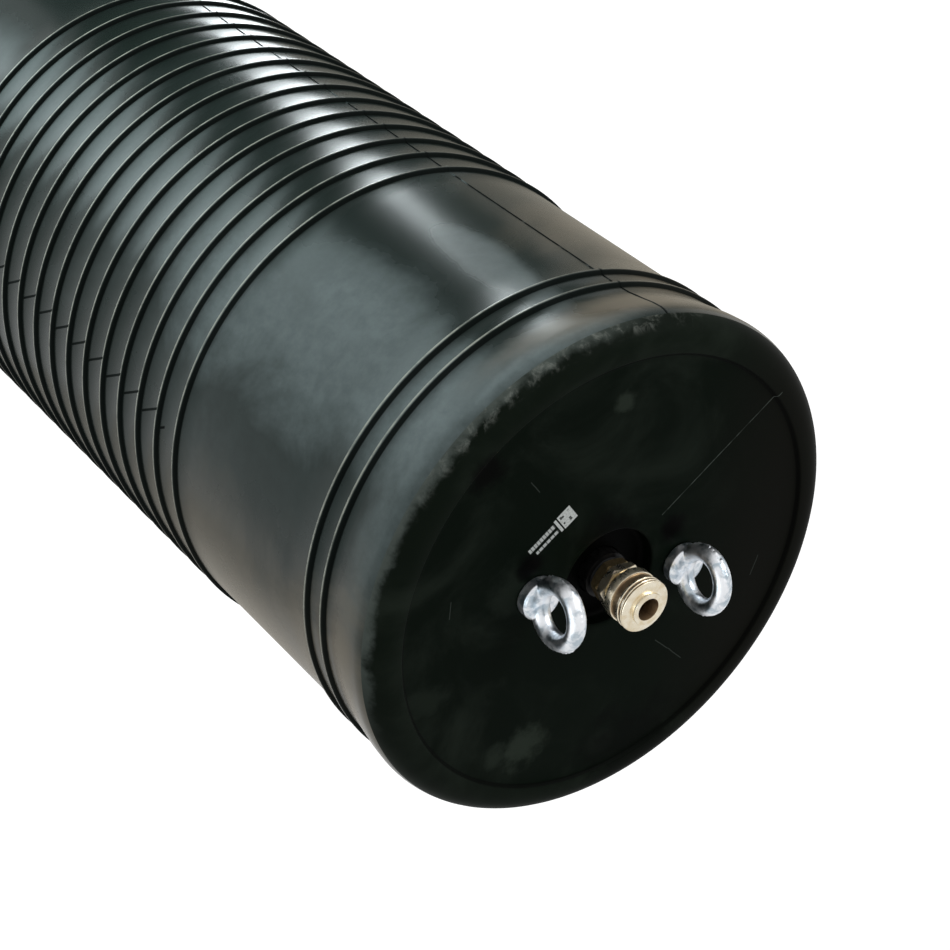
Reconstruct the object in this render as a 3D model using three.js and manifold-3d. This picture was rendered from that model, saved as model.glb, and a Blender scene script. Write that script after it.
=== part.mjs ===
// Inflatable pipe plug: a ribbed rubber bag that is pushed into a pipe and blown up to seal it.
// Millimetres, +Z towards the face that carries the fittings, origin at the centre of the flat rear end.
// The two eye bolts stand on the X axis, and the hose connector stands on the plug's own axis.
import * as THREE from "three";
import * as BufferGeometryUtils from "three/addons/utils/BufferGeometryUtils.js";
import Module from "manifold-3d";

const wasm = await Module();
wasm.setup();

// Gap left between two pieces that touch on the real plug
const seat = 0.3;

// Rubber bag
const bag = {
  diameter: 275,
  length: 665,
  endSwell: 3.5,
  shoulderRadius: 14,
  sideWall: 10,
  rearWall: 16,
  frontWall: 14,
  innerCornerRadius: 22,
  sides: 40,
};
const rib = { height: 2.2, footWidth: 5, crestWidth: 2.2 };
const endRibs = { count: 2, pitch: 14.5, inset: 45.5 };
const bandRibs = { count: 15, pitch: 20.2 };
const frontRecess = { diameter: 243, depth: 2, edgeSlope: 1.2 };
const inletPocket = { diameter: 54, depth: 8, floorRadius: 3, lipChamfer: 1 };

// Steel plate behind the front wall, and the sockets that stand on it
const plate = { cornerMargin: 5.5, thickness: 6 };
const inletSocket = {
  diameter: 25,
  belowRim: 4.2,
  flangeDiameter: 38,
  flangeHeight: 5,
  threadDepth: 20,
};
const eyeSocket = { diameter: 17 };

// Lifting eye bolts
const eye = {
  spacing: 92,
  threadDiameter: 8,
  threadLength: 13,
  threadChamfer: 1,
  collarDiameter: 20,
  collarHeight: 6,
  collarEdge: 0.8,
  crownHeight: 2.4,
  ringOuterDiameter: 38,
  ringInnerDiameter: 20,
  ringThickness: 8.6,
};
const eyeTurnLeft = THREE.MathUtils.degToRad(2.6);
const eyeTurnRight = THREE.MathUtils.degToRad(1.4);

// Brass inlet: nipple, lock nut and hose connector, stacked on the inlet socket
const pipeThreadDiameter = 16.6;
const nipple = {
  boreDiameter: 10,
  hexAcrossFlats: 21,
  hexHeight: 5.8,
  stubLength: 15.5,
  topStubLength: 10.8,
  chamfer: 1,
};
const sealWasher = { thickness: 1.5, outerDiameter: 20.4 };
const lockNut = { acrossFlats: 23, height: 5.2 };
const connector = {
  boreDiameter: 12,
  neckDiameter: 20.6,
  neckHeight: 3,
  flangeDiameter: 28.4,
  flangeHeight: 5,
  bandDiameter: 25.8,
  bandHeight: 4,
  threadDiameter: 28.4,
  threadRootDiameter: 26.4,
  threadPitch: 2.2,
  threadTurns: 2,
  chamfer: 1,
  faceDiameter: 23,
  noseDiameter: 17.6,
  noseHeight: 2.3,
  edge: 0.5,
};
const connectorSeal = { thickness: 1.2, innerDiameter: 10.6 };
const threadClearance = 0.3;
// Both hexagons were tightened to the same direction
const hexTurn = THREE.MathUtils.degToRad(2.8);
const hexCorner = { inset: 0.3, angle: THREE.MathUtils.degToRad(30) };

// Flat sides that stand for a full round
const turnedSides = 28;
const smallSides = 24;
// How far a cutting body reaches past what it cuts
const cutOverrun = 1;

// Levels along the plug's axis that several pieces share
const faceZ = bag.length - frontRecess.depth;
const pocketFloorZ = faceZ - inletPocket.depth;
const plateTopZ = faceZ - bag.frontWall - seat;
const plateBottomZ = plateTopZ - plate.thickness;
const inletSocketTopZ = bag.length - inletSocket.belowRim;
const washerZ = inletSocketTopZ + seat;
const nippleHexZ = washerZ + sealWasher.thickness + seat;
const lockNutZ = nippleHexZ + nipple.hexHeight + seat;
const connectorZ = lockNutZ + lockNut.height + seat;
const nippleTopZ = nippleHexZ + nipple.hexHeight + nipple.topStubLength;
const connectorSealZ = nippleTopZ + seat;

const rubber = new THREE.MeshStandardMaterial({ color: 0x15181a, roughness: 0.42, metalness: 0 });
const steel = new THREE.MeshStandardMaterial({ color: 0x2a2c2e, roughness: 0.5, metalness: 1 });
const zinc = new THREE.MeshStandardMaterial({ color: 0xc9ced4, roughness: 0.3, metalness: 1 });
const brass = new THREE.MeshStandardMaterial({ color: 0xd9cda6, roughness: 0.28, metalness: 1 });
const tarnishedBrass = new THREE.MeshStandardMaterial({ color: 0x8a7648, roughness: 0.4, metalness: 1 });
const seal = new THREE.MeshStandardMaterial({ color: 0x101010, roughness: 0.6, metalness: 0 });

// Corner vertices are merged and flat triangles dropped, so that only the closed surface is left.
function welded(geometry) {
  const positions = geometry.clone();
  for (const name of Object.keys(positions.attributes)) {
    if (name !== "position") positions.deleteAttribute(name);
  }
  const merged = BufferGeometryUtils.mergeVertices(positions, 1e-4);
  const index = merged.getIndex().array;
  const kept = [];
  for (let i = 0; i < index.length; i += 3) {
    const [a, b, c] = [index[i], index[i + 1], index[i + 2]];
    if (a !== b && b !== c && c !== a) kept.push(a, b, c);
  }
  merged.setIndex(kept);
  return merged;
}

function asSolid(geometry) {
  const mesh = welded(geometry);
  const vertProperties = new Float32Array(mesh.getAttribute("position").array);
  const triVerts = new Uint32Array(mesh.getIndex().array);
  return new wasm.Manifold(new wasm.Mesh({ numProp: 3, vertProperties, triVerts }));
}

function asGeometry(manifold) {
  const { vertProperties, triVerts } = manifold.getMesh();
  const geometry = new THREE.BufferGeometry();
  geometry.setAttribute("position", new THREE.BufferAttribute(new Float32Array(vertProperties), 3));
  geometry.setIndex(Array.from(triVerts));
  geometry.computeVertexNormals();
  return geometry;
}

// Turns a closed profile of [radius, height] points, listed counter-clockwise, about the Z axis.
function revolve(profile, sides) {
  const points = [...profile, profile[0]].map(([radius, height]) => new THREE.Vector2(radius, height));
  const geometry = new THREE.LatheGeometry(points, sides);
  geometry.rotateX(Math.PI / 2);
  return welded(geometry);
}

// Points of a quarter round from one angle to another, measured from the radial direction.
function roundedCorner(centreRadius, centreHeight, cornerRadius, fromDegrees, toDegrees, steps) {
  return Array.from({ length: steps + 1 }, (_, i) => {
    const angle = THREE.MathUtils.degToRad(fromDegrees + ((toDegrees - fromDegrees) * i) / steps);
    return [centreRadius + cornerRadius * Math.cos(angle), centreHeight + cornerRadius * Math.sin(angle)];
  });
}

function ring(innerDiameter, outerDiameter, bottomZ, height, sides) {
  const [inner, outer, topZ] = [innerDiameter / 2, outerDiameter / 2, bottomZ + height];
  return revolve([[inner, bottomZ], [outer, bottomZ], [outer, topZ], [inner, topZ]], sides);
}

// A round cutting body from one height to another, a little longer than what it cuts.
function drill(diameter, fromZ, toZ, sides) {
  const [radius, bottomZ, topZ] = [diameter / 2, fromZ - cutOverrun, toZ + cutOverrun];
  return revolve([[0, bottomZ], [radius, bottomZ], [radius, topZ], [0, topZ]], sides);
}

// A hexagonal prism with its corners turned off at both ends, as a nut is finished.
function chamferedHex(acrossFlats, bottomZ, height, turn) {
  const cornerRadius = acrossFlats / Math.sqrt(3);
  const outerRadius = cornerRadius + hexCorner.inset;
  const faceRadius = acrossFlats / 2 - hexCorner.inset;
  const chamferRise = (outerRadius - faceRadius) * Math.tan(hexCorner.angle);
  const prism = new THREE.CylinderGeometry(cornerRadius, cornerRadius, height, 6);
  prism.rotateX(Math.PI / 2);
  prism.rotateZ(turn);
  prism.translate(0, 0, bottomZ + height / 2);
  const topZ = bottomZ + height;
  const envelope = revolve([
    [0, bottomZ],
    [faceRadius, bottomZ],
    [outerRadius, bottomZ + chamferRise],
    [outerRadius, topZ - chamferRise],
    [faceRadius, topZ],
    [0, topZ],
  ], smallSides);
  return asSolid(prism).intersect(asSolid(envelope));
}

function ribHeights() {
  const endFromRear = Array.from({ length: endRibs.count }, (_, i) => endRibs.inset + i * endRibs.pitch);
  const bandStart = (bag.length - (bandRibs.count - 1) * bandRibs.pitch) / 2;
  const band = Array.from({ length: bandRibs.count }, (_, i) => bandStart + i * bandRibs.pitch);
  const endFromFront = endFromRear.map((height) => bag.length - height).reverse();
  return [...endFromRear, ...band, ...endFromFront];
}

// The bag is one moulding: a straight ribbed wall that widens a little beyond the end ribs, round shoulders,
// a plain flat rear end, and a front end with a raised rim, a shallow recess and a round pocket for the inlet.
function makeRubberBody() {
  const radius = bag.diameter / 2;
  const endRadius = radius + bag.endSwell;
  const corner = bag.shoulderRadius;
  const innerRadius = radius - bag.sideWall;
  const innerCorner = bag.innerCornerRadius;
  const innerFrontZ = faceZ - bag.frontWall;
  const pocketRadius = inletPocket.diameter / 2;
  const socketHoleRadius = inletSocket.diameter / 2 + seat;
  const recessRadius = frontRecess.diameter / 2;
  const ribPoints = ribHeights().flatMap((height) => [
    [radius, height - rib.footWidth / 2],
    [radius + rib.height, height - rib.crestWidth / 2],
    [radius + rib.height, height + rib.crestWidth / 2],
    [radius, height + rib.footWidth / 2],
  ]);
  const profile = [
    [0, 0],
    ...roundedCorner(endRadius - corner, corner, corner, -90, 0, 4),
    ...ribPoints,
    ...roundedCorner(endRadius - corner, bag.length - corner, corner, 0, 90, 4),
    [recessRadius + frontRecess.edgeSlope, bag.length],
    [recessRadius, faceZ],
    [pocketRadius + inletPocket.lipChamfer, faceZ],
    [pocketRadius, faceZ - inletPocket.lipChamfer],
    [pocketRadius, pocketFloorZ + inletPocket.floorRadius],
    [pocketRadius - inletPocket.floorRadius, pocketFloorZ],
    [socketHoleRadius, pocketFloorZ],
    [socketHoleRadius, innerFrontZ],
    ...roundedCorner(innerRadius - innerCorner, innerFrontZ - innerCorner, innerCorner, 90, 0, 3),
    ...roundedCorner(innerRadius - innerCorner, bag.rearWall + innerCorner, innerCorner, 0, -90, 3),
    [0, bag.rearWall],
  ];
  let body = asSolid(revolve(profile, bag.sides));
  for (const side of [-1, 1]) {
    const hole = drill(eyeSocket.diameter + 2 * seat, innerFrontZ, faceZ, smallSides);
    hole.translate((side * eye.spacing) / 2, 0, 0);
    body = body.subtract(asSolid(hole));
  }
  return asGeometry(body);
}

// A flat disc that ends a little inside the rounded inner corner of the bag.
function makeFrontEndPlate() {
  const diameter = bag.diameter - 2 * (bag.sideWall + bag.innerCornerRadius + plate.cornerMargin);
  const holeDiameter = inletSocket.diameter + 2 * seat;
  return ring(holeDiameter, diameter, plateBottomZ, plate.thickness, bag.sides);
}

// A turned socket that passes through the plate, with a shoulder below it and a threaded hole from the top.
function makeInletSocket() {
  const [radius, shoulder] = [inletSocket.diameter / 2, inletSocket.flangeDiameter / 2];
  const threadRadius = pipeThreadDiameter / 2 + threadClearance;
  const boreRadius = nipple.boreDiameter / 2;
  const shoulderTopZ = plateBottomZ - seat;
  return revolve([
    [boreRadius, shoulderTopZ - inletSocket.flangeHeight],
    [shoulder, shoulderTopZ - inletSocket.flangeHeight],
    [shoulder, shoulderTopZ],
    [radius, shoulderTopZ],
    [radius, inletSocketTopZ],
    [threadRadius, inletSocketTopZ],
    [threadRadius, inletSocketTopZ - inletSocket.threadDepth],
    [boreRadius, inletSocketTopZ - inletSocket.threadDepth],
  ], turnedSides);
}

// A threaded boss on the plate that ends level with the recessed rubber face.
function makeEyeSocket() {
  const bottomZ = plateTopZ + seat;
  const holeDiameter = eye.threadDiameter + 2 * threadClearance;
  return ring(holeDiameter, eyeSocket.diameter, bottomZ, faceZ - bottomZ, smallSides);
}

// A forged eye bolt: ring, crowned collar and shank in one piece. Its seat is at z = 0.
function makeEyeBolt() {
  const sectionWidth = (eye.ringOuterDiameter - eye.ringInnerDiameter) / 2;
  const centreRadius = eye.ringOuterDiameter / 2 - sectionWidth / 2;
  const ringBody = new THREE.TorusGeometry(centreRadius, sectionWidth / 2, 10, 26);
  ringBody.scale(1, 1, eye.ringThickness / sectionWidth);
  ringBody.rotateX(Math.PI / 2);
  ringBody.rotateZ(Math.PI / 2);
  ringBody.translate(0, 0, eye.ringOuterDiameter / 2);
  const shank = eye.threadDiameter / 2;
  const collar = eye.collarDiameter / 2;
  const edge = eye.collarEdge;
  const crownSteps = 5;
  const crown = Array.from({ length: crownSteps }, (_, i) => {
    const share = i / crownSteps;
    const radius = (collar - edge) * Math.cos((share * Math.PI) / 2);
    return [radius, eye.collarHeight + eye.crownHeight * share ** 1.5];
  });
  const stem = revolve([
    [0, -eye.threadLength],
    [shank - eye.threadChamfer, -eye.threadLength],
    [shank, -eye.threadLength + eye.threadChamfer],
    [shank, 0],
    [collar - edge / 2, 0],
    [collar, edge / 2],
    [collar, eye.collarHeight - edge],
    ...crown,
    [0, eye.collarHeight + eye.crownHeight],
  ], smallSides);
  const seatPlane = new THREE.BoxGeometry(eye.ringOuterDiameter, eye.ringOuterDiameter, eye.ringThickness);
  seatPlane.translate(0, 0, -eye.ringThickness / 2);
  const trimmedRing = asSolid(ringBody).subtract(asSolid(seatPlane));
  return asGeometry(trimmedRing.add(asSolid(stem)));
}

function makeInletSealWasher() {
  const holeDiameter = pipeThreadDiameter + 2 * seat;
  return ring(holeDiameter, sealWasher.outerDiameter, washerZ, sealWasher.thickness, turnedSides);
}

// A threaded tube with a hexagon round it: its lower end screws into the plug, its upper into the connector.
function makeInletNipple() {
  const radius = pipeThreadDiameter / 2;
  const bottomZ = nippleHexZ - nipple.stubLength;
  const tube = revolve([
    [0, bottomZ],
    [radius - nipple.chamfer, bottomZ],
    [radius, bottomZ + nipple.chamfer],
    [radius, nippleTopZ - nipple.chamfer],
    [radius - nipple.chamfer, nippleTopZ],
    [0, nippleTopZ],
  ], turnedSides);
  const hex = chamferedHex(nipple.hexAcrossFlats, nippleHexZ, nipple.hexHeight, hexTurn);
  const bore = drill(nipple.boreDiameter, bottomZ, nippleTopZ, smallSides);
  return asGeometry(asSolid(tube).add(hex).subtract(asSolid(bore)));
}

function makeLockNut() {
  const hex = chamferedHex(lockNut.acrossFlats, lockNutZ, lockNut.height, hexTurn);
  const holeDiameter = pipeThreadDiameter + 2 * threadClearance;
  const hole = drill(holeDiameter, lockNutZ, lockNutZ + lockNut.height, turnedSides);
  return asGeometry(hex.subtract(asSolid(hole)));
}

// One turned piece: neck, round flange, waisted band, screwed front with a chamfer, and a short nose.
function makeHoseConnector() {
  const socketRadius = pipeThreadDiameter / 2 + threadClearance;
  const boreRadius = connector.boreDiameter / 2;
  const edge = connector.edge;
  const neckTopZ = connectorZ + connector.neckHeight;
  const flangeTopZ = neckTopZ + connector.flangeHeight;
  const bandTopZ = flangeTopZ + connector.bandHeight;
  const crestHalf = connector.threadPitch / 4;
  const threadLength = connector.threadTurns * connector.threadPitch + crestHalf;
  const faceTopZ = bandTopZ + threadLength + connector.chamfer;
  const noseTopZ = faceTopZ + connector.noseHeight;
  const socketTopZ = connectorSealZ + connectorSeal.thickness + seat;
  const crest = connector.threadDiameter / 2;
  const root = connector.threadRootDiameter / 2;
  const turns = Array.from({ length: connector.threadTurns }, (_, i) => {
    const grooveZ = bandTopZ + (i + 1) * connector.threadPitch;
    return [[crest, grooveZ - crestHalf], [root, grooveZ], [crest, grooveZ + crestHalf]];
  }).flat();
  return revolve([
    [socketRadius, connectorZ],
    [connector.neckDiameter / 2, connectorZ],
    [connector.neckDiameter / 2, neckTopZ],
    [connector.flangeDiameter / 2 - edge, neckTopZ],
    [connector.flangeDiameter / 2, neckTopZ + edge],
    [connector.flangeDiameter / 2, flangeTopZ - edge],
    [connector.flangeDiameter / 2 - edge, flangeTopZ],
    [connector.bandDiameter / 2, flangeTopZ],
    [connector.bandDiameter / 2, bandTopZ],
    [crest - edge, bandTopZ],
    ...turns,
    [connector.faceDiameter / 2, faceTopZ],
    [connector.noseDiameter / 2, faceTopZ],
    [connector.noseDiameter / 2, noseTopZ - edge],
    [connector.noseDiameter / 2 - edge, noseTopZ],
    [boreRadius + edge, noseTopZ],
    [boreRadius, noseTopZ - edge],
    [boreRadius, socketTopZ],
    [socketRadius, socketTopZ],
  ], turnedSides);
}

// A flat washer at the bottom of the connector's socket, on the end of the nipple.
function makeConnectorSeal() {
  const { innerDiameter, thickness } = connectorSeal;
  return ring(innerDiameter, pipeThreadDiameter, connectorSealZ, thickness, turnedSides);
}

const plug = new THREE.Group();

function addPiece(name, geometry, material, x = 0, z = 0, turn = 0) {
  const mesh = new THREE.Mesh(geometry, material);
  mesh.name = name;
  mesh.position.set(x, 0, z);
  mesh.rotation.z = turn;
  plug.add(mesh);
}

addPiece("rubber_body", makeRubberBody(), rubber);
addPiece("front_end_plate", makeFrontEndPlate(), steel);
addPiece("inlet_socket", makeInletSocket(), steel);
addPiece("left_eye_socket", makeEyeSocket(), steel, -eye.spacing / 2);
addPiece("right_eye_socket", makeEyeSocket(), steel, eye.spacing / 2);
addPiece("left_eye_bolt", makeEyeBolt(), zinc, -eye.spacing / 2, faceZ + seat, eyeTurnLeft);
addPiece("right_eye_bolt", makeEyeBolt(), zinc, eye.spacing / 2, faceZ + seat, eyeTurnRight);
addPiece("inlet_seal_washer", makeInletSealWasher(), seal);
addPiece("inlet_nipple", makeInletNipple(), tarnishedBrass);
addPiece("lock_nut", makeLockNut(), brass);
addPiece("hose_connector", makeHoseConnector(), brass);
addPiece("connector_seal", makeConnectorSeal(), seal);

export default plug;
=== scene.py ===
import math
import random

import bmesh
import bpy
from mathutils import Matrix, Vector


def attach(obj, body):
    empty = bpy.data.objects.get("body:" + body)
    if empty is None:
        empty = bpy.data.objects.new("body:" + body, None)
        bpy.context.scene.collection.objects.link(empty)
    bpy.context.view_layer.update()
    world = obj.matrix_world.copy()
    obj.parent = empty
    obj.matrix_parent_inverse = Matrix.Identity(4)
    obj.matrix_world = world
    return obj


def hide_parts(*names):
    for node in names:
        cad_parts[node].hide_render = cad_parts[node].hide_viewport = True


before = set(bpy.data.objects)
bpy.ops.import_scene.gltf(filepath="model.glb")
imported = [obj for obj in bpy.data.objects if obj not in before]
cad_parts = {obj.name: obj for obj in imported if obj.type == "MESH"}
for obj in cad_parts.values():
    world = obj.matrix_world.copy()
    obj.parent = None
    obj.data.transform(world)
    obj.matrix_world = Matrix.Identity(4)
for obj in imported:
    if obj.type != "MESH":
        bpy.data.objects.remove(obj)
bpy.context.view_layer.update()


# RUBBER BAG
# The real bag is one moulding of black rubber, with round ribs that press against the pipe wall.
# A thin line of flash runs along each side, where the two halves of the mould met.
# Its front end carries the rim, the shallow recess and the pocket for the air inlet.

MM = 0.001
BAG_RADIUS = 137.5
END_RADIUS = 141.0
BAG_LENGTH = 665.0
FACE_HEIGHT = 663.0
POCKET_RADIUS = 27.0
POCKET_FLOOR = 655.0
SHOULDER = 14.0
WALL_INNER = 127.5
INNER_CORNER = 22.0
REAR_WALL = 16.0
INNER_FRONT = 649.0
SOCKET_HOLE = 12.8
EYE_SPACING = 92.0
EYE_HOLE = 8.8
RIB_SECTION = [(-2.5, 0.0), (-2.2, 0.1), (-2.0, 0.5), (-1.8, 1.05), (-1.4, 1.65), (-0.8, 2.04), (0.0, 2.15)]
RIB_SECTION += [(-along, rise) for along, rise in reversed(RIB_SECTION[:-1])]
END_RIBS = [45.5, 60.0]
RIB_PITCH = 20.2
BAND_COUNT = 15
BAND_RIBS = [(BAG_LENGTH - (BAND_COUNT - 1) * RIB_PITCH) / 2 + i * RIB_PITCH for i in range(BAND_COUNT)]
RIBS = END_RIBS + BAND_RIBS + [BAG_LENGTH - height for height in reversed(END_RIBS)]
BAND_HALF = 148.0
FLASH_SIDE = 87.3
END_FACE_FROM = 650.0
END_FACE_RADIUS = 139.8
BAG_STEPS = 192
HOLE_STEPS = 48


def arc(centre_radius, centre_height, radius, start, end, steps):
    """Points of a rounded corner of a turned section, with angles in degrees from the outward direction."""
    angles = [math.radians(start + (end - start) * i / steps) for i in range(steps + 1)]
    return [(centre_radius + radius * math.cos(a), centre_height + radius * math.sin(a)) for a in angles]


def turned(section, angles, closed=True, shape=None):
    """Mesh of a round piece. A point of the section is (radius, height) in mm, or a function of the angle."""
    bm = bmesh.new()
    rings = []
    for point in section:
        if callable(point):
            places = [point(a) for a in angles]
        else:
            places = [point] * len(angles)
        if max(radius for radius, _ in places) < 1e-6:
            ring = [bm.verts.new((0.0, 0.0, places[0][1] * MM))] * len(angles)
        else:
            ring = []
            for a, (radius, height) in zip(angles, places):
                if shape:
                    radius = shape(a, radius, height)
                place = (radius * math.cos(a) * MM, radius * math.sin(a) * MM, height * MM)
                ring.append(bm.verts.new(place))
        rings.append(ring)
    pairs = list(zip(rings, rings[1:]))
    if closed:
        pairs.append((rings[-1], rings[0]))
    for low, high in pairs:
        for i in range(len(angles)):
            j = (i + 1) % len(angles)
            corners = [low[i], low[j], high[j], high[i]]
            corners = [c for k, c in enumerate(corners) if c not in corners[:k]]
            if len(corners) > 2:
                bm.faces.new(corners)
    return bm


def finish_piece(name, bm, materials, replaced=(), sharp=35, moved=None):
    """Turns the mesh into an object that rides on the plug and stands for its CAD nodes."""
    bmesh.ops.recalc_face_normals(bm, faces=bm.faces)
    mesh = bpy.data.meshes.new(name)
    bm.to_mesh(mesh)
    bm.free()
    for face in mesh.polygons:
        face.use_smooth = True
    mesh.set_sharp_from_angle(angle=math.radians(sharp))
    piece = bpy.data.objects.new(name, mesh)
    bpy.context.scene.collection.objects.link(piece)
    for look in materials:
        mesh.materials.append(look)
    if moved is not None:
        mesh.transform(moved)
    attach(piece, "root")
    if replaced:
        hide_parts(*replaced)


class Look:
    """A material's node tree, with one short call for each kind of node."""

    def __init__(self, name, **sockets):
        self.material = bpy.data.materials.new(name)
        self.material.use_nodes = True
        self.tree = self.material.node_tree
        self.shader = self.tree.nodes["Principled BSDF"]
        for socket, value in sockets.items():
            self.put(self.shader.inputs[socket.replace("_", " ")], value)
        self.place = self.node("ShaderNodeTexCoord").outputs["Object"]

    def node(self, kind, **settings):
        made = self.tree.nodes.new(kind)
        for key, value in settings.items():
            setattr(made, key, value)
        return made

    def put(self, socket, value):
        if isinstance(value, bpy.types.NodeSocket):
            self.tree.links.new(value, socket)
            return
        if socket.type == "RGBA" and isinstance(value, tuple) and len(value) == 3:
            value = (*value, 1.0)
        socket.default_value = value

    def use(self, socket, value):
        self.put(self.shader.inputs[socket], value)

    def math(self, operation, a, b=0.0, c=0.0, clamp=False):
        made = self.node("ShaderNodeMath", operation=operation, use_clamp=clamp)
        for i, value in enumerate((a, b, c)):
            self.put(made.inputs[i], value)
        return made.outputs[0]

    def times(self, a, b, clamp=False):
        return self.math("MULTIPLY", a, b, clamp=clamp)

    def plus(self, a, b):
        return self.math("ADD", a, b)

    def less(self, a, b):
        return self.math("SUBTRACT", a, b)

    def most(self, a, b):
        return self.math("MAXIMUM", a, b)

    def size(self, a):
        return self.math("ABSOLUTE", a)

    def reach(self, a, b):
        """Distance from the middle to a point with these two coordinates."""
        return self.math("SQRT", self.plus(self.math("POWER", a, 2.0), self.math("POWER", b, 2.0)))

    def split(self, vector):
        made = self.node("ShaderNodeSeparateXYZ")
        self.put(made.inputs[0], vector)
        return made.outputs

    def join(self, x, y, z):
        made = self.node("ShaderNodeCombineXYZ")
        for i, value in enumerate((x, y, z)):
            self.put(made.inputs[i], value)
        return made.outputs[0]

    def noise(self, size_mm, detail=3.0, roughness=0.55, distortion=0.0, place=None):
        made = self.node("ShaderNodeTexNoise")
        self.put(made.inputs["Vector"], place or self.place)
        self.put(made.inputs["Scale"], 1000.0 / size_mm)
        self.put(made.inputs["Detail"], detail)
        self.put(made.inputs["Roughness"], roughness)
        self.put(made.inputs["Distortion"], distortion)
        return made.outputs[0]

    def step(self, value, low, high, to_low=0.0, to_high=1.0):
        made = self.node("ShaderNodeMapRange", interpolation_type="SMOOTHSTEP")
        for i, number in enumerate((value, low, high, to_low, to_high)):
            self.put(made.inputs[i], number)
        return made.outputs[0]

    def mix(self, share, a, b):
        made = self.node("ShaderNodeMix", data_type="RGBA")
        self.put(made.inputs[0], share)
        self.put(made.inputs[6], a)
        self.put(made.inputs[7], b)
        return made.outputs[2]

    def bump(self, height, distance_mm, strength=1.0, under=None):
        made = self.node("ShaderNodeBump")
        self.put(made.inputs["Strength"], strength)
        self.put(made.inputs["Distance"], distance_mm * MM)
        self.put(made.inputs["Height"], height)
        if under is not None:
            self.put(made.inputs["Normal"], under)
        return made.outputs[0]


def turn_from(look, degrees):
    """Angle in radians round the bag, counted from the given direction."""
    x, y, _ = look.split(look.place)
    a = math.radians(degrees)
    side = look.less(look.times(y, math.cos(a)), look.times(x, math.sin(a)))
    facing = look.plus(look.times(x, math.cos(a)), look.times(y, math.sin(a)))
    return look.math("ARCTAN2", side, facing)


def patch(look, angle, height, turn_width, length, share, warp):
    """A soft-edged patch on the side of the bag, for cloudy bloom and for painted reflections. Angle and
    width are in degrees, the rest in mm.
    """
    z = look.split(look.place)[2]
    across = look.math("DIVIDE", turn_from(look, angle), math.radians(turn_width))
    up = look.math("DIVIDE", look.less(z, height * MM), length * MM)
    return look.step(look.plus(look.reach(across, up), warp), 0.25, 1.25, share, 0.0)


bag_rubber = Look("bag_rubber", Specular_IOR_Level=0.15, Specular_Tint=(0.75, 1.0, 0.95))
cloud = bag_rubber.noise(90, 5.0, 0.6, 0.6)
warp = bag_rubber.times(bag_rubber.less(cloud, 0.5), 1.8)
# Pale blue-grey patches: a real cloudy bloom that varies at random, plus painted reflections of the bright
# room placed by angle round the bag, and a narrow painted highlight streak at 104 degrees
bloom_and_reflection = 0.0
for where in ((143, 560, 20, 170, 0.85), (133, 545, 11, 90, 0.85), (136, 400, 12, 330, 0.34),
              (160, 520, 24, 240, 0.12), (150, 648, 52, 20, 0.62), (118, 652, 26, 9, 1.0),
              (104, 585, 5, 60, 0.5)):
    bloom_and_reflection = bag_rubber.most(bloom_and_reflection, patch(bag_rubber, *where, warp))
# Painted warm reflection: brownish patches along the edges of the bag and on its shoulder, where warm
# surroundings would reflect
warm_reflection = 0.0
for where in ((66, 600, 26, 90, 0.6), (-150, 560, 30, 120, 0.7), (92, 640, 30, 14, 0.9),
              (-155, 642, 34, 30, 0.9)):
    warm_reflection = bag_rubber.most(warm_reflection, patch(bag_rubber, *where, warp))
fine = bag_rubber.noise(9, 4.0, 0.65)
smear = bag_rubber.step(bag_rubber.noise(260, 4.0, 0.6, 1.2), 0.45, 0.75, 0.0, 0.16)
patchy = bag_rubber.step(fine, 0.2, 0.8, 0.7, 1.15)
bloom_and_reflection = bag_rubber.times(bag_rubber.plus(bloom_and_reflection, smear), patchy, clamp=True)
rubber_colour = bag_rubber.mix(bloom_and_reflection, (0.0055, 0.0105, 0.0085), (0.125, 0.155, 0.155))
rubber_colour = bag_rubber.mix(warm_reflection, rubber_colour, (0.118, 0.100, 0.072))

# Each cord of rubber carries a painted highlight along its back and a painted shadow along its front, and the
# highlight is stronger on the lit side
height = bag_rubber.times(bag_rubber.split(bag_rubber.place)[2], 1000.0)
turns = bag_rubber.math("DIVIDE", bag_rubber.less(height, BAND_RIBS[0]), RIB_PITCH)
past = bag_rubber.times(bag_rubber.less(turns, bag_rubber.math("ROUND", turns)), RIB_PITCH)
banded = bag_rubber.math("LESS_THAN", bag_rubber.size(bag_rubber.less(height, BAG_LENGTH / 2)), BAND_HALF)
crest_highlight, front = 0.0, 0.0
for rib in END_RIBS + [BAG_LENGTH - rib for rib in END_RIBS] + ["band"]:
    offset = past if rib == "band" else bag_rubber.less(height, rib)
    line = bag_rubber.times(bag_rubber.step(offset, -2.0, -1.5), bag_rubber.step(offset, -0.1, 0.5, 1.0, 0.0))
    shadow = bag_rubber.times(bag_rubber.step(offset, 0.3, 1.0), bag_rubber.step(offset, 2.1, 2.8, 1.0, 0.0))
    if rib == "band":
        line, shadow = bag_rubber.times(line, banded), bag_rubber.times(shadow, banded)
    crest_highlight, front = bag_rubber.most(crest_highlight, line), bag_rubber.most(front, shadow)
lit_side = bag_rubber.size(turn_from(bag_rubber, 150))
crest_highlight = bag_rubber.times(crest_highlight, bag_rubber.step(lit_side, 0.5, 1.1, 1.0, 0.12))
crest_highlight = bag_rubber.times(crest_highlight, bag_rubber.step(fine, 0.3, 0.6, 0.35, 0.9))
rubber_colour = bag_rubber.mix(crest_highlight, rubber_colour, (0.36, 0.37, 0.31))
front = bag_rubber.times(front, 0.95)
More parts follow.
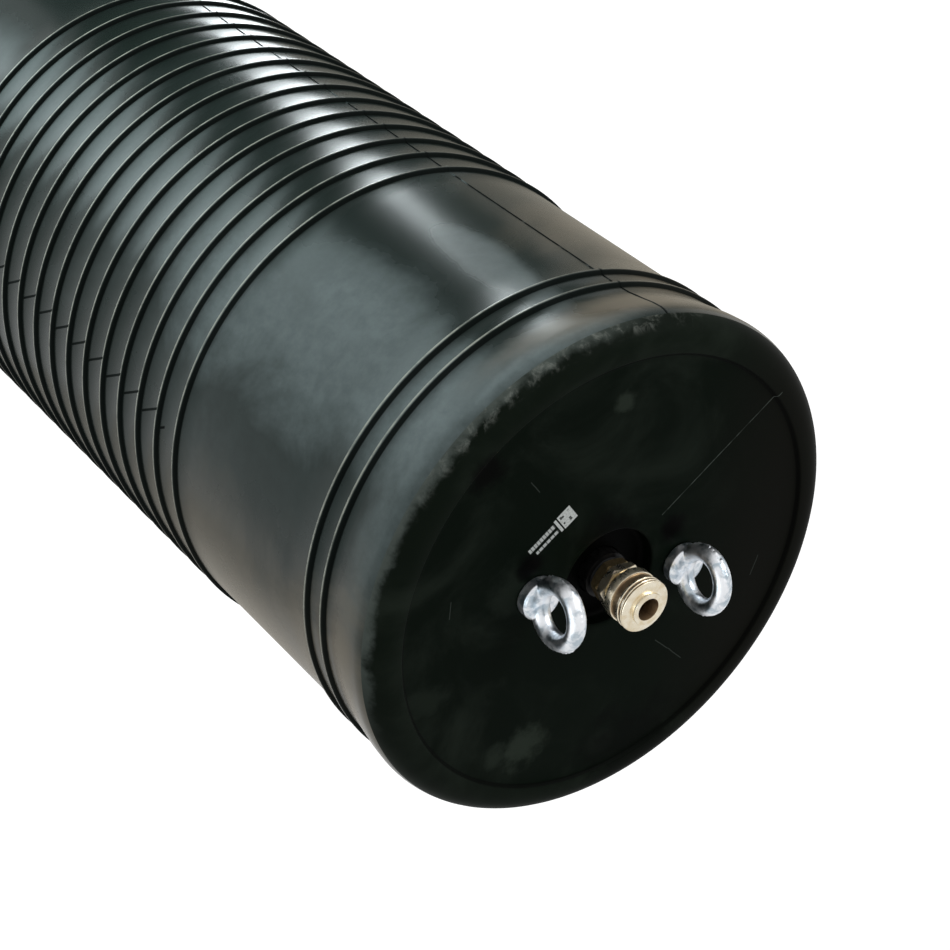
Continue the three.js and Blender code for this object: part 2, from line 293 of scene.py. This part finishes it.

# The flash line on the right, painted dark as the shadow of its raised edge, and slanting dark nicks between
# the ribs on the left
broken = bag_rubber.step(bag_rubber.noise(16, 3.0, 0.6), 0.36, 0.46)
flash_shadow = bag_rubber.step(bag_rubber.size(turn_from(bag_rubber, FLASH_SIDE)), 0.0035, 0.0075, 1.0, 0.0)
flash_shadow = bag_rubber.times(flash_shadow, broken)
share = bag_rubber.math("FRACT", turns)
slant = bag_rubber.plus(turn_from(bag_rubber, 180.8), bag_rubber.times(share, math.radians(4.8)))
nick = bag_rubber.step(bag_rubber.size(slant), 0.004, 0.008, 1.0, 0.0)
nick = bag_rubber.times(nick, bag_rubber.step(share, 0.08, 0.14))
nick = bag_rubber.times(nick, bag_rubber.step(height, 460.0, 461.0, 1.0, 0.0))
front = bag_rubber.most(front, bag_rubber.most(flash_shadow, bag_rubber.times(nick, banded)))
# Painted shade: the rib shadows and the flash line's shadow are darkened here, together with the nicks
rubber_colour = bag_rubber.mix(front, rubber_colour, (0.0008, 0.0012, 0.0009))
bag_rubber.use("Base Color", rubber_colour)
rough = bag_rubber.step(bloom_and_reflection, 0.0, 0.8, 0.27, 0.5)
bag_rubber.use("Roughness", bag_rubber.most(rough, bag_rubber.times(front, 0.95)))
grain = bag_rubber.noise(1.2, 2.0, 0.5)
dents = bag_rubber.noise(34, 3.0, 0.5)
bag_rubber.use("Normal", bag_rubber.bump(grain, 0.03, 0.35, bag_rubber.bump(dents, 0.35, 0.5)))

end_rubber = Look("end_rubber", Specular_IOR_Level=0.02)
x, y, z = end_rubber.split(end_rubber.place)
out = end_rubber.reach(x, y)
haze = end_rubber.step(end_rubber.noise(70, 5.0, 0.6, 0.8), 0.45, 0.8, 0.0, 0.45)


def across_and_along(look, centre, degrees):
    """Distances in mm from a point of the end face, along a direction and square to it."""
    a = math.radians(degrees)
    x, y, _ = look.split(look.place)
    dx = look.less(look.times(x, 1000.0), centre[0])
    dy = look.less(look.times(y, 1000.0), centre[1])
    along = look.plus(look.times(dx, math.cos(a)), look.times(dy, math.sin(a)))
    across = look.less(look.times(dy, math.cos(a)), look.times(dx, math.sin(a)))
    return along, across


def block(look, along, across, middle, half_length, half_width, soft=0.12):
    """Mask of a rectangle whose middle lies at the given distances."""
    a = look.size(look.less(along, middle[0]))
    b = look.size(look.less(across, middle[1]))
    in_length = look.step(a, half_length - soft, half_length + soft, 1.0, 0.0)
    return look.times(in_length, look.step(b, half_width - soft, half_width + soft, 1.0, 0.0))


def spot(look, centre, size, strength, warp):
    """A soft round patch on the end face."""
    along, across = across_and_along(look, centre, 0)
    far = look.reach(look.math("DIVIDE", along, size), look.math("DIVIDE", across, size))
    return look.step(look.plus(far, warp), 0.3, 1.2, strength, 0.0)


mottle = end_rubber.times(end_rubber.less(end_rubber.noise(14, 4.0, 0.65), 0.5), 2.0)
for middle, size, strength in (((-33, -94), 15, 0.9), ((-50, -96), 9, 0.6), ((-103, -48), 15, 0.35),
                               ((-14, 99), 7, 0.8), ((-60, 5), 16, 0.3), ((20, -104), 10, 0.4)):
    haze = end_rubber.most(haze, spot(end_rubber, middle, size, strength, mottle))
shade = spot(end_rubber, (-90, 75), 11, 0.9, mottle)
for middle, size, strength in (((-52, 17), 9, 1.0), ((37, 22), 9, 1.0), ((-6, 20), 22, 0.8),
                               ((40, -118), 40, 0.6)):
    shade = end_rubber.most(shade, spot(end_rubber, middle, size, strength, mottle))
shade = end_rubber.most(shade, end_rubber.step(out, 0.026, 0.0285, 1.0, 0.0))
haze = end_rubber.times(haze, end_rubber.less(1.0, shade))
# Painted shade: the recess inside the ledge is darker than the rim, and a dark shade line runs along the
# ledge
recess_shade = end_rubber.step(out, 0.1212, 0.1228)
skin = end_rubber.mix(recess_shade, (0.0018, 0.0042, 0.0022), (0.0050, 0.0080, 0.0052))
skin = end_rubber.mix(haze, skin, (0.026, 0.034, 0.026))
ledge_shade_line = end_rubber.step(out, 0.1206, 0.1212)
ledge_shade_line = end_rubber.times(ledge_shade_line, end_rubber.step(out, 0.1222, 0.1230, 1.0, 0.0))
shade = end_rubber.most(shade, end_rubber.times(ledge_shade_line, 0.7))
brown = end_rubber.step(end_rubber.plus(x, end_rubber.times(mottle, 0.01)), 0.03, 0.11, 0.0, 0.8)
skin = end_rubber.mix(brown, skin, (0.0055, 0.0052, 0.0040))
skin = end_rubber.mix(shade, skin, (0.0004, 0.0005, 0.0004))

# The shoulder is painted pale on one side, as a painted reflection
reflection_side = math.radians(148)
reflection_facing = end_rubber.times(x, math.cos(reflection_side))
reflection_facing = end_rubber.plus(reflection_facing, end_rubber.times(y, math.sin(reflection_side)))
reflection_facing = end_rubber.step(end_rubber.math("DIVIDE", reflection_facing, out), 0.45, 0.9)
edge = end_rubber.step(end_rubber.plus(out, end_rubber.times(mottle, 0.004)), 0.1362, 0.1400)
shoulder_reflection = end_rubber.times(reflection_facing, edge)
skin = end_rubber.mix(end_rubber.times(shoulder_reflection, 0.8), skin, (0.105, 0.125, 0.112))
scuffs = end_rubber.step(end_rubber.noise(7, 4.0, 0.7, 0.5), 0.48, 0.75)
scuffs = end_rubber.times(scuffs, end_rubber.step(out, 0.134, 0.139))
away = end_rubber.size(turn_from(end_rubber, 118))
scuffs = end_rubber.times(scuffs, end_rubber.step(away, 0.25, 0.8, 0.7, 0.0))
skin = end_rubber.mix(scuffs, skin, (0.25, 0.27, 0.24))

along, across = across_and_along(end_rubber, (26.6, 30.3), 44.4)
wobble = end_rubber.plus(across, end_rubber.times(mottle, 0.25))
scratch = block(end_rubber, along, wobble, (42.8, 0.0), 42.8, 0.22, 0.2)
scratch = end_rubber.times(scratch, end_rubber.step(end_rubber.noise(5, 3.0), 0.35, 0.65, 0.25, 0.9))
for start, degrees, length in (((-62.3, 64.9), -44.6, 9.2), ((42.1, -46.8), -36, 13),
                               ((52.8, -54.3), -38, 14), ((-96, -3), 95, 10), ((100, -20), 80, 12)):
    along, across = across_and_along(end_rubber, start, degrees)
    bent = end_rubber.plus(across, end_rubber.times(mottle, 0.5))
    short = block(end_rubber, along, bent, (length / 2, 0.0), length / 2, 0.18, 0.2)
    scratch = end_rubber.most(scratch, end_rubber.times(short, 0.45))
skin = end_rubber.mix(scratch, skin, (0.085, 0.10, 0.088))

# Pale print: a square field with a few dark cells, and two rows of plain blocks beside it
along, across = across_and_along(end_rubber, (-35.5, 41.2), 224.5)
field = block(end_rubber, along, across, (0.0, 0.0), 4.3, 4.9)
strip = block(end_rubber, along, across, (5.9, 0.0), 0.75, 4.6)
cells = end_rubber.node("ShaderNodeTexVoronoi", distance="CHEBYCHEV")
end_rubber.put(cells.inputs["Scale"], 0.75)
end_rubber.put(cells.inputs["Randomness"], 0.35)
end_rubber.put(cells.inputs["Vector"], end_rubber.join(along, across, 0.0))
dark_cell = end_rubber.step(end_rubber.split(cells.outputs["Color"])[0], 0.66, 0.70)
inner_field = block(end_rubber, along, across, (0.2, 0.0), 3.2, 3.6)
field = end_rubber.less(field, end_rubber.times(end_rubber.times(dark_cell, inner_field), 0.85))
print_mask = end_rubber.most(field, strip)
for offset, length, pitch, half_width in ((-2.1, 17.4, 1.95, 1.35), (2.3, 15.0, 2.6, 0.95)):
    row = block(end_rubber, along, across, (7.6 + length / 2, offset), length / 2, half_width, 0.2)
    beat = end_rubber.math("FRACT", end_rubber.math("DIVIDE", along, pitch))
    beat = end_rubber.step(end_rubber.size(end_rubber.less(beat, 0.5)), 0.33, 0.47, 0.85, 0.1)
    print_mask = end_rubber.most(print_mask, end_rubber.times(row, beat))
worn = end_rubber.step(end_rubber.noise(0.8, 2.0), 0.25, 0.6, 0.7, 1.0)
top = end_rubber.step(z, 0.6625, 0.6629)
print_mask = end_rubber.times(end_rubber.times(print_mask, worn), top)
skin = end_rubber.mix(print_mask, skin, (0.60, 0.63, 0.61))
end_rubber.use("Base Color", skin)
end_rubber.use("Roughness", end_rubber.step(haze, 0.0, 0.6, 0.5, 0.62))
dents = end_rubber.bump(end_rubber.noise(40, 3.0), 0.5, 0.5)
end_rubber.use("Normal", end_rubber.bump(end_rubber.noise(1.4, 2.0, 0.5), 0.04, 0.4, dents))

FLASH_ANGLES = [math.radians(FLASH_SIDE), math.radians(FLASH_SIDE + 180)]
bag_angles = set(2 * math.pi * i / BAG_STEPS for i in range(BAG_STEPS))
for line in FLASH_ANGLES:
    bag_angles |= {line + offset for offset in (-0.0052, -0.0024, 0.0, 0.0024, 0.0052)}
bag_angles = sorted(bag_angles)


def flash(angle, radius, height):
    """The line where the mould parts met stands a little proud."""
    if any(abs(angle - line) < 0.001 for line in FLASH_ANGLES) and radius > 136 and 16 < height < 649:
        return min(radius + 0.45, max(radius, 139.6))
    return radius


section = [(0.0, 0.0), (60.0, 0.0)]
section += arc(END_RADIUS - SHOULDER, SHOULDER, SHOULDER, -90, 0, 10)
section += [(END_RADIUS - 0.5, 20.0), (BAG_RADIUS + 1.2, 31.0), (BAG_RADIUS + 0.3, 37.0)]
low = 37.0
for height in RIBS:
    start = height + RIB_SECTION[0][0]
    for i in range(1, int((start - low) / 12)):
        section.append((BAG_RADIUS, low + i * 12))
    section += [(BAG_RADIUS + rise, height + along) for along, rise in RIB_SECTION]
    low = height - RIB_SECTION[0][0]
section += [(BAG_RADIUS + 0.3, 628.0), (BAG_RADIUS + 1.2, 634.0), (END_RADIUS - 0.5, 645.0)]
section += arc(END_RADIUS - SHOULDER, BAG_LENGTH - SHOULDER, SHOULDER, 0, 90, 12)
section += [(123.4, 665.0), (122.9, 664.85), (122.5, 664.5), (121.9, 663.5), (121.5, 663.15)]
section += [(121.0, 663.0), (119.0, 663.0)]
pocket = [(30.5, 663.0), (28.2, 663.0), (27.6, 662.85), (27.15, 662.5), (27.0, 661.9), (27.0, 658.0)]
pocket += arc(POCKET_RADIUS - 3.0, POCKET_FLOOR + 3.0, 3.0, 0, -90, 5)[1:]
pocket += [(20.0, POCKET_FLOOR), (SOCKET_HOLE + 0.4, POCKET_FLOOR), (SOCKET_HOLE, POCKET_FLOOR - 0.4)]
pocket += [(SOCKET_HOLE, INNER_FRONT)]
inside = arc(WALL_INNER - INNER_CORNER, INNER_FRONT - INNER_CORNER, INNER_CORNER, 90, 0, 5)
inside += arc(WALL_INNER - INNER_CORNER, REAR_WALL + INNER_CORNER, INNER_CORNER, 0, -90, 5)
inside += [(0.0, REAR_WALL)]

whole = bmesh.new()
carrier = bpy.data.meshes.new("surface")
for part, shape in ((section, flash), (pocket, None), (inside, None)):
    surface = turned(part, bag_angles, closed=False, shape=shape)
    surface.to_mesh(carrier)
    surface.free()
    whole.from_mesh(carrier)
bpy.data.meshes.remove(carrier)
for side in (-1, 1):
    rings = []
    for height in (INNER_FRONT, FACE_HEIGHT):
        ring = []
        for i in range(HOLE_STEPS):
            a = 2 * math.pi * i / HOLE_STEPS
            hole_x = side * EYE_SPACING / 2 + EYE_HOLE * math.cos(a)
            ring.append(whole.verts.new((hole_x * MM, EYE_HOLE * math.sin(a) * MM, height * MM)))
        rings.append(ring)
    for i in range(HOLE_STEPS):
        j = (i + 1) % HOLE_STEPS
        whole.faces.new((rings[0][i], rings[0][j], rings[1][j], rings[1][i]))
for height in (INNER_FRONT, FACE_HEIGHT):
    edges = [e for e in whole.edges
             if e.is_boundary and all(abs(v.co.z - height * MM) < 1e-6 for v in e.verts)]
    bmesh.ops.triangle_fill(whole, edges=edges, use_beauty=True, normal=(0, 0, 1))
bmesh.ops.remove_doubles(whole, verts=whole.verts, dist=1e-7)
for face in whole.faces:
    middle = face.calc_center_median()
    if middle.z > END_FACE_FROM * MM and math.hypot(middle.x, middle.y) < END_FACE_RADIUS * MM:
        face.material_index = 1
finish_piece("moulded_bag", whole, [bag_rubber.material, end_rubber.material], ["rubber_body"])


# END PLATE AND SOCKETS
# A steel plate is bonded behind the rubber of the front end. The inlet socket passes through it,
# and two threaded bosses stand on it for the eye bolts. All are turned from blackened steel.

dark_steel = Look("dark_steel", Metallic=1.0)
turning = dark_steel.noise(3.0, 3.0, 0.6)
dark_steel.use("Base Color", dark_steel.mix(turning, (0.010, 0.010, 0.011), (0.035, 0.034, 0.033)))
dark_steel.use("Roughness", dark_steel.step(turning, 0.2, 0.8, 0.38, 0.6))
dark_steel.use("Normal", dark_steel.bump(dark_steel.noise(0.8, 2.0), 0.02, 0.4))
for name in ("front_end_plate", "inlet_socket", "left_eye_socket", "right_eye_socket"):
    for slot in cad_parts[name].material_slots:
        slot.material = dark_steel.material


# EYE BOLTS
# Each is a drop forging of steel with a bright zinc plating: a ring, a crowned collar and a threaded shank.
# The ragged edge round the ring is the forging's flash, trimmed off by hand.

EYE_SEAT = 663.3
RING_RADIUS = 14.1
RING_HALF_WIDTH = 4.45
RING_HALF_THICKNESS = 4.9
RING_HEIGHT = 18.75
COLLAR_RADIUS = 11.0
COLLAR_TOP = 6.0
CROWN = 2.2
SHANK_RADIUS = 4.0
SHANK_LENGTH = 13.0
FLASH_TEETH = 43
WELD_VOXEL = 0.38

zinc = Look("zinc", Metallic=1.0)
wash = zinc.noise(6.0, 4.0, 0.6, 0.4)
zinc.use("Base Color", zinc.mix(zinc.step(wash, 0.34, 0.58), (0.50, 0.58, 0.64), (0.93, 0.95, 0.98)))
zinc.use("Roughness", zinc.step(wash, 0.25, 0.75, 0.27, 0.45))
zinc.use("Normal", zinc.bump(zinc.noise(1.3, 4.0, 0.6), 0.08, 0.5, zinc.bump(zinc.noise(5.0, 3.0), 0.3, 0.4)))


def forged_eye(name, node, x_mm, turn_degrees, seed):
    """Ring, collar and shank welded into one skin. The ring's parting line carries the trimmed flash."""
    chance = random.Random(seed)
    bm = bmesh.new()
    around, across = 128, 28
    teeth = [chance.uniform(0.0, 1.0) ** 1.2 for _ in range(FLASH_TEETH)]
    grid = []
    for i in range(around):
        a = 2 * math.pi * i / around
        tooth = teeth[i // 3] if i % 3 else 0.1
        row = []
        for k in range(across):
            b = 2 * math.pi * k / across
            reach = RING_HALF_WIDTH * math.cos(b)
            if k == 0:
                reach += 1.0 * tooth * (1 - 0.8 * max(0.0, math.sin(a)) ** 4)
            radius = RING_RADIUS + reach
            x, z = radius * math.cos(a), RING_HEIGHT + radius * math.sin(a)
            row.append(bm.verts.new((x, RING_HALF_THICKNESS * math.sin(b), z)))
        grid.append(row)
    for i in range(around):
        for k in range(across):
            i2, k2 = (i + 1) % around, (k + 1) % across
            bm.faces.new((grid[i][k], grid[i2][k], grid[i2][k2], grid[i][k2]))
    ring_mesh = bpy.data.meshes.new(name + "_ring")
    # The ring stops inside the collar
    for v in bm.verts:
        v.co *= MM
        v.co.z = max(v.co.z, 0.0004)
    bm.to_mesh(ring_mesh)
    bm.free()
    stem = [(0.0, -SHANK_LENGTH), (SHANK_RADIUS - 1, -SHANK_LENGTH), (SHANK_RADIUS, 1 - SHANK_LENGTH)]
    stem += [(SHANK_RADIUS, 0.0), (COLLAR_RADIUS - 0.5, 0.0)]
    stem += arc(COLLAR_RADIUS - 0.8, 0.8, 0.8, -60, 0, 3)
    stem += arc(COLLAR_RADIUS - 0.9, COLLAR_TOP - 0.9, 0.9, 0, 70, 4)
    for s in (0.45, 0.7, 0.95, 1.2, 1.4):
        stem.append((COLLAR_RADIUS * math.cos(s), COLLAR_TOP + CROWN * math.sin(s) ** 1.3))
    stem += [(0.0, COLLAR_TOP + CROWN)]
    stem_bm = turned(stem, [2 * math.pi * i / 64 for i in range(64)], closed=False)
    stem_bm.from_mesh(ring_mesh)
    bmesh.ops.recalc_face_normals(stem_bm, faces=stem_bm.faces)
    stem_bm.to_mesh(ring_mesh)
    stem_bm.free()
    rough = bpy.data.objects.new(name + "_rough", ring_mesh)
    bpy.context.scene.collection.objects.link(rough)
    remesh = rough.modifiers.new("weld", "REMESH")
    remesh.mode = "VOXEL"
    remesh.voxel_size = WELD_VOXEL * MM
    ease = rough.modifiers.new("ease", "SMOOTH")
    ease.factor = 0.5
    ease.iterations = 1
    welded = bpy.data.meshes.new_from_object(rough.evaluated_get(bpy.context.evaluated_depsgraph_get()))
    bpy.data.objects.remove(rough)
    bm = bmesh.new()
    bm.from_mesh(welded)
    bpy.data.meshes.remove(welded)
    turn = Matrix.Rotation(math.radians(90 + turn_degrees), 4, "Z")
    place = Matrix.Translation((x_mm * MM, 0, EYE_SEAT * MM)) @ turn
    finish_piece(name, bm, [zinc.material], [node], sharp=180, moved=place)


forged_eye("forged_eye_left", "left_eye_bolt", -EYE_SPACING / 2, 2.6, 4)
forged_eye("forged_eye_right", "right_eye_bolt", EYE_SPACING / 2, 1.4, 9)


# AIR INLET
# A nipple with a hexagon screws into the inlet socket on a flat seal, and a lock nut holds the hose
# connector on it. All three are turned brass: the nipple is tarnished brown and darkened further with
# painted shade, and the other two are pale and clean.

NIPPLE_RADIUS = 8.3
HEX_TURN = math.radians(2.8)
round_steps = [2 * math.pi * i / 144 + HEX_TURN for i in range(144)]


def hexagon(across_flats, height, top=None):
    """A point of a hexagon's outline that follows the angle, and drops where its corners are turned off."""
    def place(a):
        away = (a - HEX_TURN) % (math.pi / 3) - math.pi / 6
        radius = min(across_flats / 2 / math.cos(away), across_flats / math.sqrt(3) - 0.12)
        drop = max(0.0, radius - across_flats / 2 + 0.25) * math.tan(math.radians(30))
        return radius, height + (drop if top == "bottom" else -drop)
    return place


def brass_look(name, pale, deep, rough_low, rough_high):
    """Turned brass, stained in patches, with fine tool rings along its height."""
    look = Look(name, Metallic=1.0)
    stain = look.noise(5.0, 4.0, 0.6, 0.5)
    height = look.split(look.place)[2]
    rings = look.noise(0.5, 2.0, 0.5, 0.0, look.join(0.0, 0.0, height))
    look.use("Base Color", look.mix(look.step(stain, 0.3, 0.75), pale, deep))
    look.use("Roughness", look.step(stain, 0.2, 0.8, rough_low, rough_high))
    look.use("Normal", look.bump(rings, 0.03, 0.6, look.bump(look.noise(0.9, 3.0), 0.03, 0.5)))
    return look


pale_brass = brass_look("pale_brass", (0.93, 0.86, 0.70), (0.78, 0.66, 0.46), 0.22, 0.36)
shaded_brown_brass = brass_look("shaded_brown_brass", (0.30, 0.23, 0.12), (0.13, 0.095, 0.045), 0.35, 0.5)
recess_shade_brass = brass_look("recess_shade_brass", (0.42, 0.31, 0.19), (0.22, 0.15, 0.09), 0.35, 0.5)

HEX_LOW, HEX_HIGH = 662.9, 668.7
NIPPLE_LOW, NIPPLE_HIGH = 647.4, 679.5
nipple = [(5.0, NIPPLE_LOW), (5.0, NIPPLE_HIGH), (NIPPLE_RADIUS - 1, NIPPLE_HIGH)]
nipple += [(NIPPLE_RADIUS, NIPPLE_HIGH - 1), (NIPPLE_RADIUS, HEX_HIGH)]
nipple += [(10.2, HEX_HIGH), hexagon(21, HEX_HIGH), hexagon(21, HEX_LOW, "bottom"), (10.2, HEX_LOW)]
nipple += [(NIPPLE_RADIUS, HEX_LOW), (NIPPLE_RADIUS, NIPPLE_LOW + 1), (NIPPLE_RADIUS - 1, NIPPLE_LOW)]
bm = turned(nipple, round_steps)
finish_piece("nipple", bm, [shaded_brown_brass.material], ["inlet_nipple"], sharp=25)

NUT_LOW, NUT_HIGH = 669.0, 674.2
nut = [(8.6, NUT_LOW + 0.4), (8.6, NUT_HIGH - 0.4), (9.0, NUT_HIGH), (11.2, NUT_HIGH)]
nut += [hexagon(23, NUT_HIGH), hexagon(23, NUT_LOW, "bottom"), (11.2, NUT_LOW), (9.0, NUT_LOW)]
bm = turned(nut, round_steps)
finish_piece("locking_nut", bm, [pale_brass.material], ["lock_nut"], sharp=25)

THREAD_LOW, THREAD_HIGH = 686.5, 691.45
THREAD_PITCH = 2.2
THREAD_CREST = 14.2
THREAD_DEPTH = 1.0
THREAD_RINGS = 39


def thread(height):
    """A point of the screwed front. The groove climbs one pitch a turn and fades out at both ends."""
    def place(a):
        turn = (height - THREAD_LOW) / THREAD_PITCH - a / (2 * math.pi)
        depth = max(0.0, 1 - abs((turn % 1.0) - 0.5) * 3.2)
        fade_in = max(0.0, (height - THREAD_LOW - 0.5) / 0.5)
        fade_out = max(0.0, (THREAD_HIGH - 0.2 - height) / 0.4)
        fade = min(1.0, fade_in, fade_out)
        return THREAD_CREST - THREAD_DEPTH * depth * fade, height
    return place


connector = [(8.6, 674.5), (10.0, 674.5), (10.3, 674.8), (10.3, 677.5)]
connector += [(13.6, 677.5), (14.0, 677.65), (14.2, 678.0), (14.2, 682.0), (14.05, 682.35), (13.7, 682.5)]
connector += [(13.5, 682.5), (13.3, 682.7), (13.3, 686.3), (13.5, 686.5), (13.8, 686.5), (14.1, 686.65)]
connector += [thread(THREAD_LOW + 0.3 + 0.12 * i) for i in range(THREAD_RINGS)]
connector += [(14.1, 691.4), (13.95, 691.65), (11.8, 692.35), (11.5, 692.45), (9.0, 692.45), (8.8, 692.6)]
connector += [(8.8, 694.3), (8.65, 694.6), (8.3, 694.75), (6.6, 694.75), (6.15, 694.55), (6.0, 694.2)]
connector += [(6.0, 681.3), (8.6, 681.3)]
bm = turned(connector, round_steps)

# The bore, the waist and the bottom of the thread are painted darker, as shade
for face in bm.faces:
    middle = face.calc_center_median() / MM
    out = math.hypot(middle.x, middle.y)
    if out < 6.1 or out < 13.4 and 682.4 < middle.z < 686.6 or out < 13.75 and 686.7 < middle.z < 691.3:
        face.material_index = 1
materials = [pale_brass.material, recess_shade_brass.material]
finish_piece("air_connector", bm, materials, ["hose_connector"], sharp=28)


# SEALS
# Two flat washers punched from black rubber sheet. One is squeezed under the nipple's hexagon,
# and the other between the nipple and the connector.

seal_rubber = Look("seal_rubber", Specular_IOR_Level=0.3)
dusty = seal_rubber.noise(3.0)
seal_rubber.use("Base Color", seal_rubber.mix(dusty, (0.008, 0.008, 0.008), (0.02, 0.02, 0.02)))
seal_rubber.use("Roughness", 0.6)
seal_rubber.use("Normal", seal_rubber.bump(seal_rubber.noise(0.6), 0.03, 0.5))
for name in ("inlet_seal_washer", "connector_seal"):
    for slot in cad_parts[name].material_slots:
        slot.material = seal_rubber.material


# ROOM, LAMPS AND CAMERA
# A white floor in a white room, with studio cards on the floor that only reflections see.
# The camera stands where the photograph was taken from.


def white_to_rays(tree, plain, white):
    """The background is white to the camera, to reflections and through glass, and plain to all else."""
    path = tree.nodes.new("ShaderNodeLightPath")
    seen = path.outputs["Is Camera Ray"]
    for name in ("Is Glossy Ray", "Is Transmission Ray"):
        either = tree.nodes.new("ShaderNodeMath")
        either.operation = "MAXIMUM"
        tree.links.new(seen, either.inputs[0])
        tree.links.new(path.outputs[name], either.inputs[1])
        seen = either.outputs[0]
    choice = tree.nodes.new("ShaderNodeMixShader")
    tree.links.new(seen, choice.inputs[0])
    tree.links.new(plain, choice.inputs[1])
    tree.links.new(white, choice.inputs[2])
    return choice.outputs[0]


bm = bmesh.new()
bmesh.ops.create_grid(bm, x_segments=8, y_segments=8, size=6.0)
floor_mesh = bpy.data.meshes.new("floor")
bm.to_mesh(floor_mesh)
bm.free()
floor = bpy.data.objects.new("floor", floor_mesh)
floor.location.z = -0.0006
bpy.context.scene.collection.objects.link(floor)
floor_look = bpy.data.materials.new("floor")
floor_look.use_nodes = True
tree = floor_look.node_tree
tree.nodes.clear()
matte = tree.nodes.new("ShaderNodeBsdfDiffuse")
matte.inputs["Color"].default_value = (0.5, 0.5, 0.5, 1)
glow = tree.nodes.new("ShaderNodeEmission")
glow.inputs["Strength"].default_value = 0.85
both = tree.nodes.new("ShaderNodeAddShader")
tree.links.new(matte.outputs[0], both.inputs[0])
tree.links.new(glow.outputs[0], both.inputs[1])
output = tree.nodes.new("ShaderNodeOutputMaterial")
tree.links.new(white_to_rays(tree, matte.outputs[0], both.outputs[0]), output.inputs["Surface"])
floor_mesh.materials.append(floor_look)

world = bpy.data.worlds.new("room")
bpy.context.scene.world = world
world.use_nodes = True
tree = world.node_tree
tree.nodes.clear()
plain = tree.nodes.new("ShaderNodeBackground")
plain.inputs["Strength"].default_value = 0.5
white = tree.nodes.new("ShaderNodeBackground")
output = tree.nodes.new("ShaderNodeOutputWorld")
tree.links.new(white_to_rays(tree, plain.outputs[0], white.outputs[0]), output.inputs["Surface"])


def lamp(name, place, target, size, watts, colour=(1, 1, 1)):
    """A soft rectangular lamp that points at the target and stays out of the picture itself."""
    light = bpy.data.lights.new(name, "AREA")
    light.shape = "RECTANGLE"
    light.size, light.size_y = size
    light.energy = watts
    light.color = colour
    holder = bpy.data.objects.new(name, light)
    bpy.context.scene.collection.objects.link(holder)
    holder.location = place
    holder.rotation_euler = (Vector(target) - Vector(place)).to_track_quat("-Z", "Y").to_euler()
    holder.visible_camera = False


def card(name, corners, colour, strength):
    """A studio card laid just above the floor. Only reflections see it, so the floor stays white."""
    bm = bmesh.new()
    bm.faces.new([bm.verts.new((x, y, 0.004)) for x, y in corners])
    bmesh.ops.recalc_face_normals(bm, faces=bm.faces)
    mesh = bpy.data.meshes.new(name)
    bm.to_mesh(mesh)
    bm.free()
    look = bpy.data.materials.new(name)
    look.use_nodes = True
    tree = look.node_tree
    tree.nodes.clear()
    shine = tree.nodes.new("ShaderNodeEmission")
    shine.inputs["Color"].default_value = (*colour, 1)
    shine.inputs["Strength"].default_value = strength
    output = tree.nodes.new("ShaderNodeOutputMaterial")
    tree.links.new(shine.outputs[0], output.inputs["Surface"])
    mesh.materials.append(look)
    laid = bpy.data.objects.new(name, mesh)
    bpy.context.scene.collection.objects.link(laid)
    laid.visible_camera = laid.visible_diffuse = laid.visible_shadow = laid.visible_transmission = False


card("dim_card", [(0.09, 0.155), (-0.07, 0.17), (-0.15, 0.75), (0.45, 0.75), (0.48, 0.46), (0.2, 0.25)],
     (0.75, 1.0, 0.9), 0.16)
card("warm_card_right", [(0.095, 0.15), (0.205, 0.24), (0.49, 0.45), (1.0, 0.8), (1.2, -0.6), (0.3, -0.4),
                         (0.17, -0.05)], (1.0, 0.92, 0.78), 0.62)
card("warm_card_left", [(-0.42, -0.62), (0.2, -0.75), (0.25, -0.3), (0.0, -0.2), (-0.25, -0.3)],
     (1.0, 0.94, 0.84), 0.75)
lamp("key", (0.9, 1.5, 1.7), (0, 0, 0.5), (1.2, 1.2), 18)
lamp("fill", (-2.0, -0.4, 1.2), (0, 0, 0.5), (1.5, 1.5), 9, (0.92, 0.97, 1.0))
lamp("floor_strip", (0.165, 0.42, 0.02), (0.165, 0.42, 1.0), (0.09, 0.62), 2.2, (0.93, 0.97, 1.0))
lamp("floor_panel", (-0.27, 0.40, 0.02), (-0.27, 0.40, 1.0), (0.26, 0.55), 2.6, (0.86, 0.96, 1.0))

camera_data = bpy.data.cameras.new("camera")
camera_data.lens = 87.68
camera_data.sensor_width = 36.0
camera_data.clip_end = 50.0
camera = bpy.data.objects.new("camera", camera_data)
bpy.context.scene.collection.objects.link(camera)
right = Vector((0.80529, 0.16163, 0.57042))
up = Vector((0.15654, 0.87001, -0.46752))
back = Vector((-0.57184, 0.46578, 0.67532))
turn = Matrix((right, up, back)).transposed().to_4x4()
camera.matrix_world = Matrix.Translation((-0.69551, 0.56288, 1.37017)) @ turn
bpy.context.scene.camera = camera
bpy.context.scene.view_settings.view_transform = "Standard"
